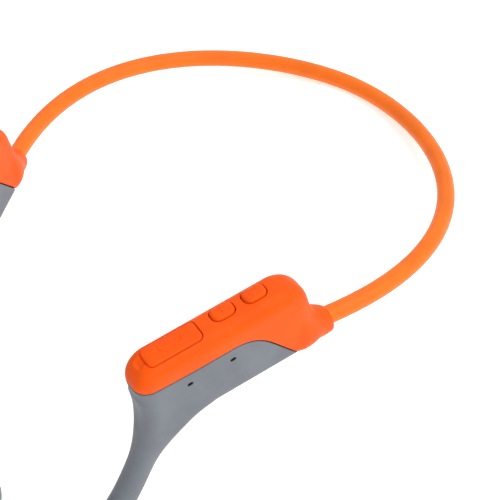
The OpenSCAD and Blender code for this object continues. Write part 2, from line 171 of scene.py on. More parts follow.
def outline_distance(poly, x, y):
    """Signed distance to a convex anticlockwise outline, negative inside."""
    shape = np.broadcast(x, y).shape
    x, y = np.broadcast_to(x, shape).ravel(), np.broadcast_to(y, shape).ravel()
    out = np.empty(x.size)
    A, B = poly, np.roll(poly, -1, axis=0)
    D = B - A
    L2 = (D ** 2).sum(1)
    nrm = np.c_[D[:, 1], -D[:, 0]] / np.sqrt(L2)[:, None]
    few = CHUNK // 2
    for i in range(0, x.size, few):
        px, py = x[i:i + few, None] - A[:, 0], y[i:i + few, None] - A[:, 1]
        t = np.clip((px * D[:, 0] + py * D[:, 1]) / L2, 0, 1)
        d = np.sqrt(((px - t * D[:, 0]) ** 2 + (py - t * D[:, 1]) ** 2).min(1))
        side = (px * nrm[:, 0] + py * nrm[:, 1]).max(1)
        out[i:i + few] = np.where(side > 0, d, -d)
    return out.reshape(shape)


def slab(d2, across, half, edge, power):
    """An outline carried across a thickness, with softly rounded edges."""
    a, b = d2 + edge, np.abs(across) - half + edge
    outside = (np.maximum(a, 0) ** power + np.maximum(b, 0) ** power + 1e-12) ** (1 / power)
    return outside + np.minimum(np.maximum(a, b), 0) - edge


def smooth_min(a, b, k):
    h = np.clip(0.5 + 0.5 * (b - a) / k, 0, 1)
    return b + (a - b) * h - k * h * (1 - h)


def smooth_max(a, b, k):
    return -smooth_min(-a, -b, k)


def bezier(p, t):
    t = np.asarray(t, float)[:, None]
    p = np.asarray(p, float)
    return (1 - t) ** 3 * p[0] + 3 * (1 - t) ** 2 * t * p[1] + 3 * (1 - t) * t * t * p[2] + t ** 3 * p[3]


POD_OUTLINE = hull_of_circles([
    (POD_FRONT - 5.95, POD_H - 5.9, 5.8),
    (POD_FRONT - 6.2, 4, 4),
    (8.6, 4, 4),
    (12.5, POD_H - 6.6, 6.6),
])

HOOK_BOTTOM = np.array([0, -65.0, -25.0])
HOOK_END = HOOK_BOTTOM + [0, -20.5, 27.6]


def hook_points(n_down=50, n_up=40):
    """The hook's centreline, its half width in the pod's plane, and the way along it."""
    down = [[0, -40.9, 3.6], [0, -50.3, -10.4], HOOK_BOTTOM + [0, 8.3, 0], HOOK_BOTTOM]
    up = [HOOK_BOTTOM, HOOK_BOTTOM - [0, 8, 0], HOOK_END + [0, 0.5, -12], HOOK_END]
    t = np.linspace(HOOK_FIRST, 1, n_down)
    P = np.vstack([bezier(down, t), bezier(up, np.linspace(0, 1, n_up)[1:])])
    P[:, 0] -= (np.maximum(0, -P[:, 1] - 52) / 33) ** 2
    root = np.concatenate([np.maximum(0, 1 - t / ROOT_SHARE), np.zeros(n_up - 1)])
    way = np.concatenate([[0], np.cumsum(np.linalg.norm(np.diff(P, axis=0), axis=1))])
    return P, HOOK_R + ROOT_SPREAD * root ** 3, way


HOOK_PATH, HOOK_WIDE, HOOK_WAY = hook_points()


def near_hook(P):
    """Seen from the side: distance to the hook's centreline, and its half width, way and x at that place."""
    A, D = HOOK_PATH[:-1, 1:], np.diff(HOOK_PATH[:, 1:], axis=0)
    L2 = (D ** 2).sum(1)
    out = np.empty((4, len(P)))
    for i in range(0, len(P), CHUNK):
        ry, rz = P[i:i + CHUNK, 1, None] - A[:, 0], P[i:i + CHUNK, 2, None] - A[:, 1]
        t = np.clip((ry * D[:, 0] + rz * D[:, 1]) / L2, 0, 1)
        d2 = (ry - t * D[:, 0]) ** 2 + (rz - t * D[:, 1]) ** 2
        j = d2.argmin(1)
        k = np.arange(len(j))
        tt = t[k, j]
        out[0, i:i + CHUNK] = np.sqrt(d2[k, j])
        for row, line in ((1, HOOK_WIDE), (2, HOOK_WAY), (3, HOOK_PATH[:, 0])):
            out[row, i:i + CHUNK] = line[j] + (line[j + 1] - line[j]) * tt
    return out


def collar_distance(P):
    """The oval collar that tapers to the band, flat at its end."""
    x, s, h = P[:, 0], -P[:, 1], P[:, 2]
    t = np.clip((s - COLLAR_END) / COLLAR_LENGTH, 0, 1.35)
    full = t ** 0.6
    wide = COLLAR_WIDE[0] + (COLLAR_WIDE[1] - COLLAR_WIDE[0]) * full
    high = COLLAR_HIGH[0] + (COLLAR_HIGH[1] - COLLAR_HIGH[0]) * full
    mid = COLLAR_MIDDLE[0] + (COLLAR_MIDDLE[1] - COLLAR_MIDDLE[0]) * t
    oval = (np.sqrt((x / wide) ** 2 + ((h - mid) / high) ** 2 + 1e-9) - 1) * np.minimum(wide, high) / 1.05
    return smooth_max(smooth_max(oval, COLLAR_END - 0.2 - s, 0.6), s - 9, 1.0)


def shell_field(P):
    """Pod, collar and hook in one smooth skin. P is in the pod frame."""
    away, wide, way, centre = near_hook(P)
    d2 = outline_distance(POD_OUTLINE, -P[:, 1], P[:, 2])
    d2 = smooth_min(d2, away - wide, FILLET)
    u = np.clip((way - ROOT_FROM) / (ROOT_TO - ROOT_FROM), 0, 1)
    u = u * u * (3 - 2 * u)
    half = POD_T + (HOOK_R - POD_T) * u
    edge = POD_EDGE + (HOOK_R - POD_EDGE) * u
    body = slab(d2, P[:, 0] - centre, half, edge, 2.2 - 0.2 * u)
    return smooth_min(body, collar_distance(P), COLLAR_BLEND)


TR_OUTLINE = hull_of_circles([(0, TR_RISE, TR_R), (0, -TR_RISE, TR_R)])


def transducer_field(P):
    """P is in the transducer's own frame."""
    d2 = outline_distance(TR_OUTLINE, P[:, 1], P[:, 2])
    return slab(d2, P[:, 0], TR_T, TR_EDGE, 2.3)


def gradient(field, P, e=0.02):
    G = np.empty_like(P)
    for i in range(3):
        d = np.zeros(3)
        d[i] = e
        G[:, i] = (field(P + d) - field(P - d)) / (2 * e)
    return G


# ---------------------------------------------------------------- meshes from fields
def sample(field, axes, step):
    """The field on a grid: worked out in full near the surface, and taken from a coarse grid elsewhere."""
    n = [len(a) for a in axes]
    X, Y, Z = np.meshgrid(*axes, indexing="ij")
    pts = np.c_[X.ravel(), Y.ravel(), Z.ravel()]
    every = 4
    block = np.ones((every, every, every))
    some = np.arange(len(pts)).reshape(n)[(slice(None, None, every),) * 3]
    coarse = field(pts[some.ravel()]).reshape(some.shape)
    big = np.kron(np.abs(coarse) < every * step * 1.8, block.astype(bool))
    back, on = (-every // 2,) * 3, (every // 2,) * 3
    near = np.roll(big, back, axis=(0, 1, 2)) | big | np.roll(big, on, axis=(0, 1, 2))
    values = np.kron(coarse, block)[:n[0], :n[1], :n[2]].ravel().copy()
    k = np.flatnonzero(near[:n[0], :n[1], :n[2]].ravel())
    values[k] = field(pts[k])
    return values.reshape(n)


def cell_points(F, cells):
    """For each mixed cell of a grid, the mean of the points where its edges cross the surface."""
    total, count = np.zeros((len(cells), 3)), np.zeros(len(cells))
    for a in [(i, j, k) for i in (0, 1) for j in (0, 1) for k in (0, 1)]:
        for axis in range(3):
            if a[axis]:
                continue
            b = list(a)
            b[axis] = 1
            fa, fb = F[tuple((cells + a).T)], F[tuple((cells + b).T)]
            cross = (fa < 0) != (fb < 0)
            t = np.where(cross, fa / np.where(cross, fa - fb, 1), 0)
            p = np.tile(np.array(a, float), (len(cells), 1))
            p[:, axis] += t
            total[cross] += p[cross]
            count[cross] += 1
    return cells + total / count[:, None]


def cell_quads(inside, ids):
    """One face across every grid edge that passes through the surface."""
    n = inside.shape
    quads = []
    for axis, (u, v) in enumerate([(1, 2), (2, 0), (0, 1)]):
        here, there = [slice(None)] * 3, [slice(None)] * 3
        here[axis], there[axis] = slice(0, n[axis] - 1), slice(1, n[axis])
        ia, ib = inside[tuple(here)], inside[tuple(there)]
        for flip, hit in ((False, ia & ~ib), (True, ~ia & ib)):
            e = np.argwhere(hit)
            e = e[(e[:, u] > 0) & (e[:, v] > 0) & (e[:, u] < n[u] - 1) & (e[:, v] < n[v] - 1)]
            corners = []
            for du, dv in ((-1, -1), (0, -1), (0, 0), (-1, 0)):
                q = e.copy()
                q[:, u] += du
                q[:, v] += dv
                corners.append(ids[q[:, 0], q[:, 1], q[:, 2]])
            q = np.stack(corners, axis=1)
            quads.append(q[:, ::-1] if flip else q)
    Q = np.vstack(quads)
    return Q[(Q >= 0).all(1)]


def pull(field, V, step):
    """Moves points on to the surface."""
    G = gradient(field, V)
    return V - G * (field(V) / np.maximum((G ** 2).sum(1), 0.04))[:, None].clip(-step, step)


def net(field, low, high, step, pulls=3):
    """A closed mesh of triangles where the field is zero, by surface nets pulled on to the surface."""
    axes = [np.arange(low[i], high[i] + step, step) for i in range(3)]
    F = sample(field, axes, step)
    inside = F < 0
    n = inside.shape
    count = np.zeros([m - 1 for m in n], int)
    for i, j, k in [(i, j, k) for i in (0, 1) for j in (0, 1) for k in (0, 1)]:
        count += inside[i:n[0] - 1 + i, j:n[1] - 1 + j, k:n[2] - 1 + k]
    mixed = (count > 0) & (count < 8)
    ids = -np.ones(mixed.shape, int)
    ids[mixed] = np.arange(mixed.sum())
    V = cell_points(F, np.argwhere(mixed)) * step + np.array(low, float)
    Q = cell_quads(inside, ids)
    for _ in range(pulls):
        V = pull(field, relax(V, Q, 0.5), step)
    V = pull(field, V, step)
    d1 = np.linalg.norm(V[Q[:, 0]] - V[Q[:, 2]], axis=1)
    d2 = np.linalg.norm(V[Q[:, 1]] - V[Q[:, 3]], axis=1)
    one, two = Q[d1 <= d2], Q[d1 > d2]
    return V, np.vstack([one[:, [0, 1, 2]], one[:, [0, 2, 3]], two[:, [0, 1, 3]], two[:, [1, 2, 3]]])


def relax(V, Q, amount):
    """Moves each point part of the way to the mean of its neighbours."""
    S, C = np.zeros_like(V), np.zeros(len(V))
    for i in range(4):
        for j in (1, 3):
            np.add.at(S, Q[:, i], V[Q[:, (i + j) % 4]])
            np.add.at(C, Q[:, i], 1)
    return V + amount * (S / np.maximum(C, 1)[:, None] - V)


def cut(V, T, value):
    """The part of a mesh where value is at most zero. Returns vertices, triangles and the cut's edges."""
    val = value(V)
    inside = val <= 0
    k = inside[T].sum(1)
    keep = T[k == 3]
    part = T[(k == 1) | (k == 2)]
    kp = inside[part].sum(1)
    # each triangle is turned so that the corner that is alone on its side comes first
    odd = (inside[part] == (kp == 1)[:, None]).argmax(1)
    r = np.arange(len(part))
    a, b, c = part[r, odd], part[r, (odd + 1) % 3], part[r, (odd + 2) % 3]
    edges = np.vstack([np.c_[a, b], np.c_[a, c]])
    key = np.sort(edges, 1)
    uniq, inv = np.unique(key, axis=0, return_inverse=True)
    inv = inv.ravel()
    va, vb = val[uniq[:, 0]], val[uniq[:, 1]]
    t = va / np.where(va == vb, 1, va - vb)
    new = V[uniq[:, 0]] + t[:, None] * (V[uniq[:, 1]] - V[uniq[:, 0]])
    base = len(V)
    ab, ac = base + inv[:len(part)], base + inv[len(part):]
    one = kp == 1
    tri = [keep, np.c_[a, ab, ac][one], np.c_[ab, b, c][~one], np.c_[ab, c, ac][~one]]
    rim = np.vstack([np.c_[ab, ac][one], np.c_[ac, ab][~one]])
    return compact(np.vstack([V, new]), np.vstack(tri), rim)


def compact(V, T, rim):
    """Drops the points that no triangle or rim uses."""
    used = np.zeros(len(V), bool)
    used[T.ravel()] = True
    used[rim.ravel()] = True
    new = np.cumsum(used) - 1
    return V[used], new[T], new[rim]


def lip(V, T, rim, outward, normal, profile):
    """Turns a cut's edge inward in steps of (out over the gap, down below the skin)."""
    ring, inv = np.unique(rim.ravel(), return_inverse=True)
    inv = inv.reshape(rim.shape)
    P, O, N = V[ring], outward(V[ring]), normal(V[ring])
    O = O - (O * N).sum(1)[:, None] * N
    O /= np.maximum(np.linalg.norm(O, axis=1), 1e-9)[:, None]
    prev, base = ring[inv], len(V)
    Vs, Ts = [V], [T]
    for out, down in profile:
        Vs.append(P + out * O - down * N)
        now = base + inv
        base += len(ring)
        Ts.append(np.c_[prev[:, 1], prev[:, 0], now[:, 0]])
        Ts.append(np.c_[prev[:, 1], now[:, 0], now[:, 1]])
        prev = now
    return np.vstack(Vs), np.vstack(Ts)


def add_mesh(name, V, faces, sharp=35):
    """A smooth-shaded object from points in row millimetres."""
    mesh = bpy.data.meshes.new(name)
    V = np.asarray(V, float) * MM
    if isinstance(faces, np.ndarray):
        faces = faces.tolist()
    mesh.from_pydata(V.tolist(), [], faces)
    mesh.validate()
    mesh.update()
    mesh.polygons.foreach_set("use_smooth", [True] * len(mesh.polygons))
    if sharp:
        mesh.set_sharp_from_angle(angle=math.radians(sharp))
    obj = bpy.data.objects.new(name, mesh)
    bpy.context.scene.collection.objects.link(obj)
    return obj


def on_side(name, mesh, side, body, node=None):
    """A mesh in the pod frame, placed on one side, riding on its body and standing in for a CAD node."""
    V, T = mesh
    obj = add_mesh(name, pod_to_row(V, side), T if side > 0 else T[:, ::-1])
    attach(obj, body)
    if node:
        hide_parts(node)
    return obj


# ---------------------------------------------------------------- the shells of both pods
def seam_curve():
    """The seam in (s, height), from the front: level, round the crest, then down to the rear."""
    rise = SEAM_FRONT_RISE
    front = [[90, SEAM_H + rise], [47, SEAM_H + rise], [41, SEAM_H + 0.25], [35, SEAM_H]]
    a, b, c = np.array([25, SEAM_H]), np.array([20.1, SEAM_H]), np.array([16.6, SEAM_H - 5])
    t = np.linspace(0, 1, 25)[:, None]
    crest = (1 - t) ** 2 * a + 2 * t * (1 - t) * b + t * t * c
    return np.vstack([front, crest, [-25.4, SEAM_H - 65]])


SEAM = seam_curve()


def seam_value(P):
    """Signed distance to the seam in the side view, positive above it."""
    s, h = -P[:, 1], P[:, 2]
    A, B = SEAM[:-1], SEAM[1:]
    D = B - A
    out = np.empty(len(P))
    for i in range(0, len(P), CHUNK):
        rx, ry = s[i:i + CHUNK, None] - A[:, 0], h[i:i + CHUNK, None] - A[:, 1]
        t = np.clip((rx * D[:, 0] + ry * D[:, 1]) / (D ** 2).sum(1), 0, 1)
        qx, qy = rx - t * D[:, 0], ry - t * D[:, 1]
        d2 = qx ** 2 + qy ** 2
        j = d2.argmin(1)
        k = np.arange(len(j))
        side = qx[k, j] * D[j, 1] - qy[k, j] * D[j, 0]
        out[i:i + CHUNK] = np.sqrt(d2[k, j]) * np.where(side > 0, 1, -1)
    return out


def rounded_box(x, y, half_x, half_y, r):
    """Signed distance to a rounded rectangle round the origin."""
    qx, qy = np.abs(x) - half_x + r, np.abs(y) - half_y + r
    return np.hypot(np.maximum(qx, 0), np.maximum(qy, 0)) + np.minimum(np.maximum(qx, qy), 0) - r


def top_slot(place, length, width, r, grow=0.0, across=0.0):
    """A slot in the pod's top edge: negative inside it, and far outside everywhere below the top."""
    def value(P):
        d = rounded_box(P[:, 0] - across, -P[:, 1] - place, width / 2, length / 2, r) - grow
        return np.where(P[:, 2] > CONTROLS_ABOVE, d, FAR)
    return value


def mic_slot(place, grow=0.0):
    """A microphone's slot in the pod's outer face, negative inside it."""
    def value(P):
        d = rounded_box(P[:, 2] - MIC_H, -P[:, 1] - place, MIC_HALF_H, MIC_HALF_L, MIC_HALF_H - 0.01) - grow
        return np.where(P[:, 0] > 0, d, FAR)
    return value


def gradient_dir(value):
    return lambda P: gradient(value, P, 0.01)


def skin_normal(P):
    """The way out of the shells' skin."""
    G = gradient(shell_field, P)
    return G / np.maximum(np.linalg.norm(G, axis=1), 1e-9)[:, None]


skin_V, skin_T = net(shell_field, (-6.5, -92, -29.5), (6.5, 1.5, 22.5), STEP)


def upright(P):
    """Straight up, so that a pressed key slides along its slot."""
    return np.tile([0.0, 0.0, 1.0], (len(P), 1))


def open_up(V, T, hole, profile, normal):
    """Cuts hole (negative inside) out of a skin and gives it a rounded edge and walls."""
    V, T, rim = cut(V, T, lambda P: -(hole(P) - LIP))
    g = gradient_dir(hole)
    ring = np.unique(rim.ravel())
    for _ in range(2):
        P = V[ring]
        G = g(P)
        V[ring] = P - G * ((hole(P) - LIP) / np.maximum((G ** 2).sum(1), 0.2))[:, None]
    return lip(V, T, rim, lambda P: -g(P), normal, profile)


def thumb_notch(V):
    """A shallow dip in front of the charging cover, for a nail."""
    d = rounded_box(V[:, 0] - NOTCH_X, -V[:, 1] - NOTCH_AT, NOTCH_HALF_W, NOTCH_HALF_L, 0.5)
    q = np.clip(0.5 - d / 0.5, 0, 1) * (V[:, 2] > CONTROLS_ABOVE)
    return V - (NOTCH_DEPTH * q * q * (3 - 2 * q))[:, None] * skin_normal(V)


def make_top(controls):
    """The orange cover above the seam, with the slots for the keys and the charging cover where they are."""
    V, T, rim = cut(skin_V, skin_T, lambda P: -(seam_value(P) - SEAM_GAP / 2 - LIP))
    V, T = lip(V, T, rim, lambda P: -gradient(seam_value, P, 0.01), skin_normal, GAP_LIP)
    if controls:
        V = thumb_notch(V)
        slots = [top_slot(place, KEY_L, KEY_W, KEY_R + 0.05, CONTROL_GAP, KEY_X)
                 for place in (PLUS_AT, MINUS_AT)]
        slots.append(top_slot(DOOR_AT, DOOR_L, DOOR_W, DOOR_R + 0.1, CONTROL_GAP, DOOR_X))
        for slot in slots:
            V, T = open_up(V, T, slot, HOLE_LIP, upright)
    return V, T


def make_bottom(mics):
    """The grey shell below the seam with the hook's skin, and the microphone slots where they are."""
    V, T, rim = cut(skin_V, skin_T, lambda P: seam_value(P) + SEAM_GAP / 2 + LIP)
    V, T = lip(V, T, rim, lambda P: gradient(seam_value, P, 0.01), skin_normal, GAP_LIP)
    if mics:
        for place in MIC_AT:
            V, T = open_up(V, T, mic_slot(place), HOLE_LIP, skin_normal)
    return V, T


def make_seal():
    """The dark strip at the bottom of the seam."""
    V, T, _ = cut(skin_V, skin_T, lambda P: np.abs(seam_value(P)) - 0.7)
    return V - 0.42 * skin_normal(V), T


def make_meshes():
    """The woven mesh just inside both microphone slots."""
    front, rear = (mic_slot(place, 0.4) for place in MIC_AT)
    V, T, _ = cut(skin_V, skin_T, lambda P: np.minimum(front(P), rear(P)))
    return V - 0.16 * skin_normal(V), T


def top_height(x, s, start=23.0):
    """Height of the skin's top above each (x, s), by walking down and then closing in."""
    P = np.c_[x, -s, np.full(x.size, start)]
    for _ in range(40):
        P[:, 2] -= shell_field(P) * 0.9
    return P[:, 2]


def cap_patch(place, length, width, r, rise, edge, mark, across):
    """A key or a door that follows the pod's top edge, with a rolled rim and a raised mark."""
    pitch = 0.1
    value = top_slot(place, length, width, r, 0.0, across)
    xs = across + np.arange(-width / 2 - 2 * pitch, width / 2 + 3 * pitch, pitch)
    ss = np.arange(place - length / 2 - 2 * pitch, place + length / 2 + 3 * pitch, pitch)
    X, S = np.meshgrid(xs, ss, indexing="ij")
    H = top_height(X.ravel(), S.ravel())
    V = np.c_[X.ravel(), -S.ravel(), H]
    idx = np.arange(len(V)).reshape(X.shape)
    a, b, c, d = idx[:-1, :-1].ravel(), idx[1:, :-1].ravel(), idx[1:, 1:].ravel(), idx[:-1, 1:].ravel()
    T = np.vstack([np.c_[a, c, b], np.c_[a, d, c]])
    V, T, rim = cut(V, T, value)
    ring = np.unique(rim.ravel())
    g = gradient_dir(value)
    V[ring] -= g(V[ring]) * value(V[ring])[:, None]
    depth = -value(V)
    q = np.clip(depth / edge, 0, 1)
    up = rise * np.sqrt(np.maximum(1 - (1 - q) ** 2, 0)) - (0.0 if rise > 0.1 else 0.12) * (1 - q) ** 2
    m = mark(V[:, 0] - across, -V[:, 1] - place)
    up = up + 0.16 * np.clip(0.5 - m / 0.12, 0, 1)
    V = V + upright(V) * up[:, None]
    return lip(V, T, rim, g, upright, CAP_SKIRT)


def plus_mark(x, s):
    a = rounded_box(x, s, 0.14, 0.85, 0.1)
    b = rounded_box(x, s, 0.85, 0.14, 0.1)
    return np.minimum(a, b)


def minus_mark(x, s):
    return rounded_box(x, s, 0.14, 0.85, 0.1)


def connector_mark(x, s):
    """A generic charging symbol: the outline of a plug's mouth with its tongue."""
    ring = np.abs(rounded_box(x, s, 0.85, 2.6, 0.84)) - 0.13
    bar = rounded_box(x, s, 0.12, 1.5, 0.1)
    return np.minimum(ring, bar)


def ladder(rings, n):
    """Triangles that join rings of n points, one ring to the next."""
    T = []
    for i in range(rings - 1):
        for k in range(n):
            p, q = i * n + k, i * n + (k + 1) % n
            T += [[p, q + n, q], [p, p + n, q + n]]
    return np.array(T)


def recess_floor():
    """The ledge under the charging cover, with the way down to the socket."""
    a = np.linspace(0, 2 * math.pi, 96, endpoint=False)
    d = np.c_[np.cos(a), np.sin(a)]

    def ring(half_x, half_s, r, h):
        lo, hi = np.zeros(len(a)), np.full(len(a), 12.0)
        for _ in range(30):
            mid = (lo + hi) / 2
            within = rounded_box(d[:, 0] * mid, d[:, 1] * mid, half_x, half_s, r) < 0
            lo, hi = np.where(within, mid, lo), np.where(within, hi, mid)
        return np.c_[d[:, 0] * lo, -(DOOR_AT + d[:, 1] * lo), np.full(len(a), h)]
    rings = [
        ring(DOOR_W / 2 + 0.5, DOOR_L / 2 + 0.5, 1.7, POD_H - 0.95),
        ring(2.0, 5.1, 1.3, POD_H - 0.95),
        ring(1.93, 5.0, 1.25, POD_H - 1.0),
        ring(1.9, 4.97, 1.2, POD_H - 1.75),
        ring(1.3, 4.3, 1.2, POD_H - 1.85),
    ]
    return np.vstack(rings), ladder(len(rings), len(a))[:, ::-1]


top_right = on_side("right_top_skin", make_top(True), 1, "right_side", "right_top_cover")
top_left = on_side("left_top_skin", make_top(False), -1, "left_side", "left_top_cover")
bottom_right = on_side("right_lower_skin", make_bottom(True), 1, "right_side", "right_lower_shell")
bottom_left = on_side("left_lower_skin", make_bottom(False), -1, "left_side", "left_lower_shell")
seal = make_seal()
seal_right = on_side("right_seam_strip", seal, 1, "right_side", "right_cover_seal")
seal_left = on_side("left_seam_strip", seal, -1, "left_side", "left_cover_seal")
meshes = on_side("microphone_mesh_discs", make_meshes(), 1, "right_side", "microphone_meshes")

plus_cap = cap_patch(PLUS_AT, KEY_L, KEY_W, KEY_R, KEY_RISE, 0.9, plus_mark, KEY_X)
minus_cap = cap_patch(MINUS_AT, KEY_L, KEY_W, KEY_R, KEY_RISE, 0.9, minus_mark, KEY_X)
door_cap = cap_patch(DOOR_AT, DOOR_L, DOOR_W, DOOR_R, DOOR_RISE, 0.35, connector_mark, DOOR_X)
plus = on_side("plus_key_cap", plus_cap, 1, "plus_key", "plus_button")
minus = on_side("minus_key_cap", minus_cap, 1, "minus_key", "minus_button")
door = on_side("charging_cover_skin", door_cap, 1, "charging_cover", "usb_cover")
recess = on_side("charging_recess_floor", recess_floor(), 1, "right_side")


# ---------------------------------------------------------------- transducers
def tr_normal(P):
    """The way out of the transducer's skin."""
    G = gradient(transducer_field, P)
    return G / np.maximum(np.linalg.norm(G, axis=1), 1e-9)[:, None]


def make_transducers():
    """The outer half, the soft half that rests on the cheek, and the dark strip between them."""
    V, T = net(transducer_field, (-7, -9.5, -12.5), (7, 9.5, 12.5), STEP * 1.15)
    parts = {}
    for name, sign in (("shell", -1), ("pad", 1)):
        v, t, rim = cut(V, T, lambda P: sign * P[:, 0] + TR_GAP)
        parts[name] = lip(v, t, rim, lambda P: np.tile([sign * 1.0, 0, 0], (len(P), 1)), tr_normal, GAP_LIP)
    v, t, _ = cut(V, T, lambda P: np.abs(P[:, 0]) - 0.5)
    parts["strip"] = (v - 0.3 * tr_normal(v), t)
    return parts


def call_hole(P):
    """The call key's hole in the transducer's outer face, negative inside it."""
    d = np.hypot(P[:, 1], P[:, 2]) - CALL_R - CALL_GAP
    return np.where(P[:, 0] > 1, d, FAR)


def open_transducer(V, T):
    """The round hole for the call key."""
    V, T, rim = cut(V, T, lambda P: -(call_hole(P) - LIP))
    ring = np.unique(rim.ravel())
    V[ring, 1:] *= ((CALL_R + CALL_GAP + LIP) / np.hypot(V[ring, 1], V[ring, 2]))[:, None]
    return lip(V, T, rim, lambda P: -P * [0, 1, 1], tr_normal, HOLE_LIP)


def call_cap(n=96):
    """A round key with a rolled rim and a shallow dish, turned about x from (x, radius)."""
    foot = [(4.2, CALL_R + 0.6), (4.5, CALL_R + 0.55), (4.55, CALL_R), (CALL_TOP - CALL_ROLL, CALL_R)]
    roll = [(CALL_TOP - CALL_ROLL + CALL_ROLL * math.sin(t), CALL_R - CALL_ROLL + CALL_ROLL * math.cos(t))
            for t in np.linspace(0.1, math.pi / 2, 9)]
    dish = [(CALL_TOP - CALL_DISH * (0.5 - 0.5 * math.cos(math.pi * u)), (CALL_R - CALL_ROLL) * (1 - u))
            for u in np.linspace(0.04, 0.999, 26)]
    profile = foot + roll + dish
    a = np.linspace(0, 2 * math.pi, n, endpoint=False)
    V = np.array([[x, r * math.cos(t), r * math.sin(t)] for x, r in profile for t in a])
    return V, ladder(len(profile), n)


transducer = make_transducers()
for side, label in ((1, "right"), (-1, "left")):
    body = label + "_side"
    for name in ("shell", "pad"):
        V, T = transducer[name]
        if side < 0 and name == "shell":
            V, T = open_transducer(V, T)
        node = label + "_transducer_" + name
        on_side(node + "_skin", (tr_to_pod(V), T), side, body, node)
    V, T = transducer["strip"]
    on_side(label + "_transducer_strip", (tr_to_pod(V), T), side, body)
V, T = call_cap()
call = on_side("call_key_cap", (tr_to_pod(V), T), -1, "call_key", "call_button")


# ---------------------------------------------------------------- neckband
def band_line(samples):
    """The right half of the band's centreline, in the level frame, from inside the pod to the rear."""
    ahead = np.array([math.sin(math.radians(EXIT_ANGLE)), math.cos(math.radians(EXIT_ANGLE)), -EXIT_FALL])
    start = np.array([HALF_WIDTH, 0, 0])
    rear = np.array([0, BAND_DEPTH, -BAND_DROP])
    points = [start, start + EXIT_HANDLE * ahead, rear + [REAR_HANDLE, 0, 0], rear]
    P = bezier(points, np.linspace(0, 1, samples))
    first = start - BAND_INSIDE * ahead / np.linalg.norm(ahead)
    lead = np.linspace(first, start, 6)[:-1]
    return np.vstack([lead, P])


def sweep(path, radius, sides, aside):
    """A tube along a path, or aside of it."""
    up = np.array([0, 0, 1.0])
    ahead = np.gradient(path, axis=0)
    ahead /= np.linalg.norm(ahead, axis=1)[:, None]
    across = np.cross(up, ahead)
    across /= np.linalg.norm(across, axis=1)[:, None]
    other = np.cross(ahead, across)
    a = np.linspace(0, 2 * math.pi, sides, endpoint=False)
    round_it = np.cos(a)[None, :, None] * across[:, None, :] + np.sin(a)[None, :, None] * other[:, None, :]
    V = (path + aside * across)[:, None, :] + radius * round_it
    n = len(path)
    T = []
    for i in range(n - 1):
        for k in range(sides):
            p, q = i * sides + k, i * sides + (k + 1) % sides
            T.append([p, q, q + sides, p + sides])
    T.append(list(range(sides))[::-1])
    T.append([(n - 1) * sides + k for k in range(sides)])
    return V.reshape(-1, 3), T


def half_band(name, radius, side, aside, node, lead=0.0, sides=40):
    """One half of a tube along the band, from inside that side's pod to the rear."""
    path = band_line(220)
    if lead:
        d = path[0] - path[1]
        path = np.vstack([path[0] + d / np.linalg.norm(d) * lead, path])
    V, T = sweep(path, radius, sides, aside)
    if side < 0:
        V = V * [-1, 1, 1]
        T = [f[::-1] for f in T]
    obj = add_mesh(name, stand(V), T, 50)
    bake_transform(obj)
    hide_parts(node)


for side, label in ((1, "right"), (-1, "left")):
    half_band(label + "_sleeve", BAND_RADIUS, side, 0.0, "neckband_sleeve")
    half_band(label + "_band_wire", WIRE_RADIUS, side, WIRE_ASIDE, "neckband_wire", WIRE_LEAD, 16)
    half_band(label + "_band_cable", CABLE_RADIUS, side, CABLE_ASIDE, "neckband_cable", CABLE_LEAD, 16)


